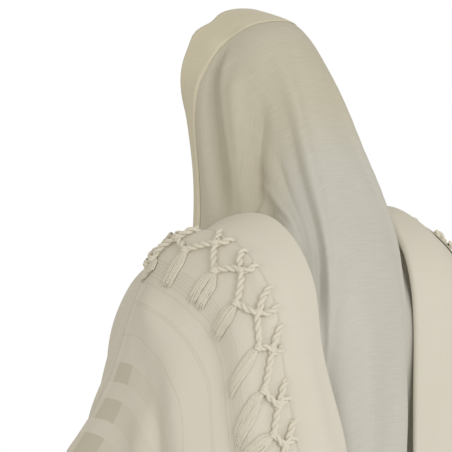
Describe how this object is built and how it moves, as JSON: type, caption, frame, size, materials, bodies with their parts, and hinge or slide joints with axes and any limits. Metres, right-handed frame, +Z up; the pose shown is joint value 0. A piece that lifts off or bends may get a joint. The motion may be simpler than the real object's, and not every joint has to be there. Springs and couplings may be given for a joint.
{
  "type": "tallit prayer shawl",
  "caption": "Cream wool prayer shawl draped over head and shoulders as a hollow form, with a plain top band, ends turned back over the arms, knotted fringe and corner tassels.",
  "frame": {"origin": "inside of the cloth at the crown of the hood, where the wearer's head holds the shawl", "axes": "+Z up; the wearer faces -Y; +X is the wearer's left"},
  "size_m": [0.6872, 0.4534, 1.5676],
  "materials": {
    "centre_wool": "fine woven wool, matt, faint cross ribs",
    "side_wool": "fine woven wool, matt",
    "turned_wool": "fine woven wool with satin stripes of its own colour near the fringed end",
    "band": "plain cloth band, stitched on along its seam",
    "fringe": "twisted wool cords, knotted",
    "tassel": "wool strings, knotted and wound"
  },
  "bodies": {
    "root": {"shawl_centre": "centre_wool", "left_side_under": "side_wool", "right_side_under": "side_wool", "left_end_turned": "turned_wool", "right_end_turned": "turned_wool", "band_top": "band", "left_fringe": "fringe", "right_fringe": "fringe", "left_tassel_back": "tassel", "left_tassel_front": "tassel", "right_tassel_back": "tassel", "right_tassel_front": "tassel"}
  },
  "joints": []
}
